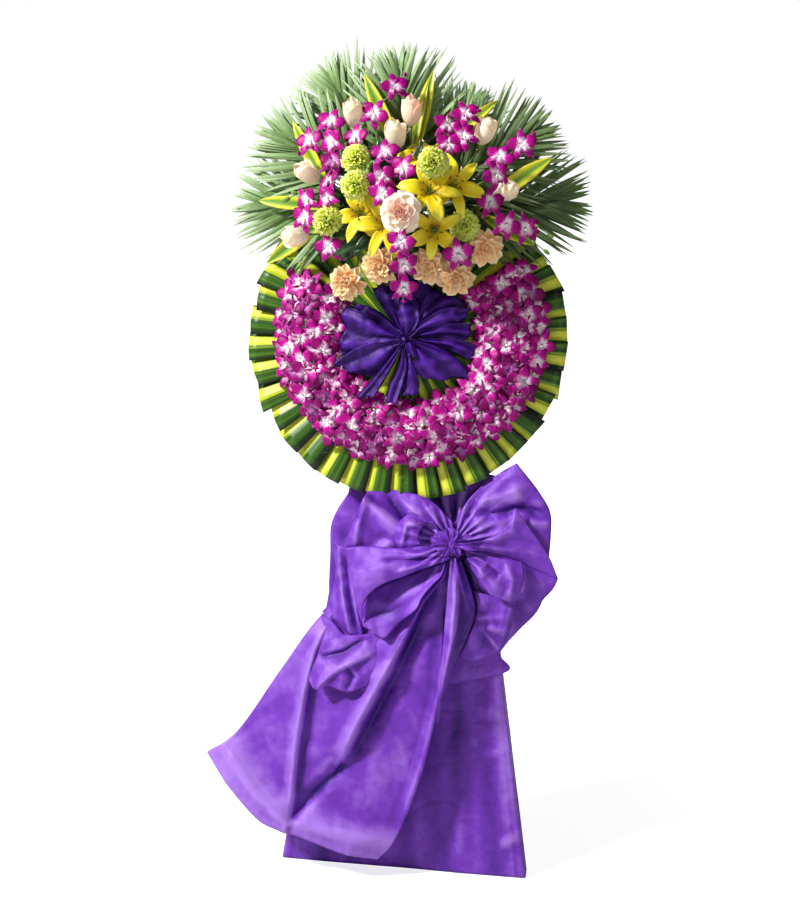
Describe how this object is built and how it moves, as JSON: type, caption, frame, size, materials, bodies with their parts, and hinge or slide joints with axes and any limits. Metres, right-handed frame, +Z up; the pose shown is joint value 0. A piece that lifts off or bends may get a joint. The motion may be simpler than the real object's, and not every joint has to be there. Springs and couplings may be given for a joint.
{
  "type": "funeral wreath",
  "caption": "Round leaf and orchid wreath on a leaning easel, with a cloth rosette, a fan of palm and flowers above and a purple cloth skirt, bow and long tail below.",
  "frame": {"origin": "on the floor, under the middle of the whole outline", "axes": "+Z up, +X to the viewer's right, -Y towards the viewer; the face leans back towards +Y"},
  "size_m": [0.7357, 0.7524, 1.6284],
  "materials": {
    "wood": "rough sawn, matt",
    "straw": "bound straw, matt",
    "variegated_leaf": "waxy leaf, dark green with a yellow stripe",
    "palm": "leaf, softly glossy",
    "orchid": "magenta petals with white hearts, satin",
    "lily": "yellow petals, satin",
    "green_carnation": "ruffled petals, matt",
    "peach_petal": "petals, matt",
    "cream_bud": "petals, matt",
    "foam": "wet flower foam",
    "cloth": "purple non-woven cloth, satin, creased",
    "dark_cloth": "dark purple non-woven cloth, satin"
  },
  "bodies": {
    "root": {"bar_low": "wood", "bar_middle": "wood", "bar_top": "wood", "bow": "cloth", "bud_left": "cream_bud", "bud_low_left": "cream_bud", "bud_right": "cream_bud", "bud_top": "cream_bud", "bud_top_left": "cream_bud", "bud_upper": "cream_bud", "bud_upper_right": "cream_bud", "carnation_far_left": "green_carnation", "carnation_left": "green_carnation", "carnation_right": "green_carnation", "carnation_top": "green_carnation", "carnation_upper_left": "green_carnation", "flower_foam": "foam", "folded_leaves": "variegated_leaf", "leg_back": "wood", "leg_left": "wood", "leg_right": "wood", "lilies_left": "lily", "lilies_right": "lily", "lily_low": "lily", "lily_top": "lily", "orchid_band_left": "orchid", "orchid_band_right": "orchid", "orchids_hanging": "orchid", "orchids_left": "orchid", "orchids_lower_left": "orchid", "orchids_lower_right": "orchid", "orchids_middle": "orchid", "orchids_right": "orchid", "orchids_top": "orchid", "orchids_upper_left": "orchid", "orchids_upper_right": "orchid", "palm_frond_1": "palm", "palm_frond_2": "palm", "palm_frond_3": "palm", "palm_frond_4": "palm", "palm_frond_5": "palm", "palm_frond_6": "palm", "palm_frond_7": "palm", "peach_far_left": "peach_petal", "peach_far_right": "peach_petal", "peach_left": "peach_petal", "peach_middle": "peach_petal", "peach_right": "peach_petal", "rose_middle": "peach_petal", "rosette": "dark_cloth", "skirt": "cloth", "straw_pad": "straw", "striped_leaves_left": "variegated_leaf", "striped_leaves_right": "variegated_leaf", "striped_leaves_top": "variegated_leaf", "swag": "cloth"}
  },
  "joints": []
}
